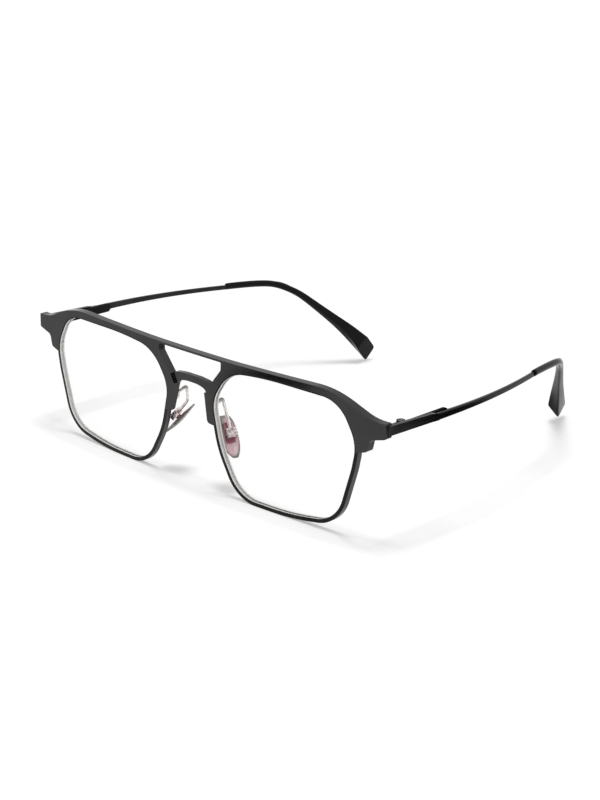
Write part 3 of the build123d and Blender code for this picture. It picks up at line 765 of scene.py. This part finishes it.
def make_tips():
    """Both tips, each riding on its temple."""
    acetate = polished_acetate()
    for side in SIDES:
        piece = polished_tip(side)
        wear(piece, acetate)
        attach(piece, "temple_" + side)
        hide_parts("temple_tip_" + side)


# Room, floor, cards, lamp and camera

ROOM_SHADE = 0.35

FLOOR_SIZE = 12
FLOOR_TONES = (grey(0.84), grey(0.86))
# The floor's glow for looks, and how far out from the middle it has that strength.
GLOW_NEAR, GLOW_FAR = 0.36, 0.75
GLOW_NEAR_TO, GLOW_FAR_FROM = 0.3, 1.3

# Two corners of each dark card on the floor.
CARDS = {
    "flag_in_front": ((-0.060, -0.245), (-0.024, -0.134)),
    "flag_at_side": ((0.095, 0.016), (0.190, 0.066)),
}
CARD_HEIGHT = 0.001
FELT_TONES = (grey(0.01), grey(0.02))

LAMP_SPOT = Vector((0, 0, 1.5))
LAMP_SIZE = 0.45
LAMP_WATTS = 10.5

CAMERA_SPOT = (0.39691302, -0.42366675, 0.21224452)
CAMERA_AZIMUTH = 44.30746
CAMERA_ELEVATION = 19.17688
CAMERA_ROLL = 0.26418
CAMERA_LENS = 87.1067
CAMERA_NEAREST = 0.01


def for_looks(tree):
    """1 for what the camera sees, straight, in gloss or through glass, and 0 for light on the piece."""
    path = add(tree, "LightPath").outputs
    seen = sums(tree, "MAXIMUM", path["Is Camera Ray"], path["Is Glossy Ray"])
    return sums(tree, "MAXIMUM", seen, path["Is Transmission Ray"])


def make_world():
    """Surroundings that look white, and light the piece with about a third of that."""
    world = bpy.data.worlds.new("white_room")
    bpy.context.scene.world = world
    world.use_nodes = True
    tree = world.node_tree
    background = tree.nodes["Background"]
    background.inputs["Color"].default_value = grey(1.0)
    put(tree, background.inputs["Strength"], span(tree, for_looks(tree), 0, 1, ROOM_SHADE, 1.0))


def make_floor():
    """Wide white floor that keeps the soft contact shadows."""
    bpy.ops.mesh.primitive_plane_add(size=FLOOR_SIZE, location=MIDDLE)
    floor = bpy.context.object
    floor.name = "floor"
    finish, tree, shader = new_finish("white_floor")
    mottle = grain(tree, 40 * MM, detail=2.0)
    seen = for_looks(tree)
    away = add(tree, "VectorMath", {"operation": "LENGTH"}, in0=place(tree)).outputs["Value"]
    glow = span(tree, away, GLOW_NEAR_TO, GLOW_FAR_FROM, GLOW_NEAR, GLOW_FAR)
    dress(tree, shader, Base_Color=blend_colours(tree, mottle, *FLOOR_TONES), Roughness=1.0,
          Specular_IOR_Level=0.0, Emission_Color=grey(1.0),
          Emission_Strength=sums(tree, "MULTIPLY", seen, glow))
    wear(floor, finish)


def make_card(name, low, high):
    """Dark card on the floor, out of the camera's sight, whose reflection darkens part of the black metal."""
    middle = ((low[0] + high[0]) / 2, (low[1] + high[1]) / 2, CARD_HEIGHT)
    bpy.ops.mesh.primitive_plane_add(size=1, location=middle)
    card = bpy.context.object
    card.name = name
    bpy.ops.transform.resize(value=(high[0] - low[0], high[1] - low[1], 1), center_override=middle)
    bpy.ops.object.transform_apply(location=True, rotation=True, scale=True)
    finish, tree, shader = new_finish(name + "_felt")
    nap = grain(tree, 2 * MM, detail=3.0)
    dress(tree, shader, Base_Color=blend_colours(tree, nap, *FELT_TONES), Roughness=1.0,
          Specular_IOR_Level=0.0)
    wear(card, finish)
    card.visible_camera = False
    card.visible_diffuse = False
    card.visible_shadow = False
    card.visible_transmission = False


def make_lamp():
    """One wide soft lamp overhead, which neither the camera nor a reflection shows."""
    bpy.ops.object.light_add(type="AREA", location=LAMP_SPOT)
    made = bpy.context.object
    made.name = "lamp_overhead"
    made.data.shape = "SQUARE"
    made.data.size = LAMP_SIZE
    made.data.energy = LAMP_WATTS
    made.rotation_euler = (Vector(MIDDLE) - LAMP_SPOT).to_track_quat("-Z", "Y").to_euler()
    made.visible_camera = False
    made.visible_glossy = False


def make_camera():
    """Camera at the photograph's place, with its three directions."""
    bpy.ops.object.camera_add()
    camera = bpy.context.object
    camera.name = "camera"
    camera.data.lens = CAMERA_LENS
    camera.data.clip_start = CAMERA_NEAREST
    turn = Matrix.Rotation(radians(CAMERA_AZIMUTH), 4, "Z")
    turn = turn @ Matrix.Rotation(radians(90 - CAMERA_ELEVATION), 4, "X")
    turn = turn @ Matrix.Rotation(radians(CAMERA_ROLL), 4, "Z")
    camera.matrix_world = Matrix.Translation(CAMERA_SPOT) @ turn
    bpy.context.scene.camera = camera


bpy.ops.object.select_all(action="DESELECT")
bpy.context.scene.view_settings.view_transform = "Standard"
make_camera()
make_world()
make_floor()
for card_name, corners in CARDS.items():
    make_card(card_name, *corners)
make_lamp()
make_pads()
make_tips()
finish_nodes()
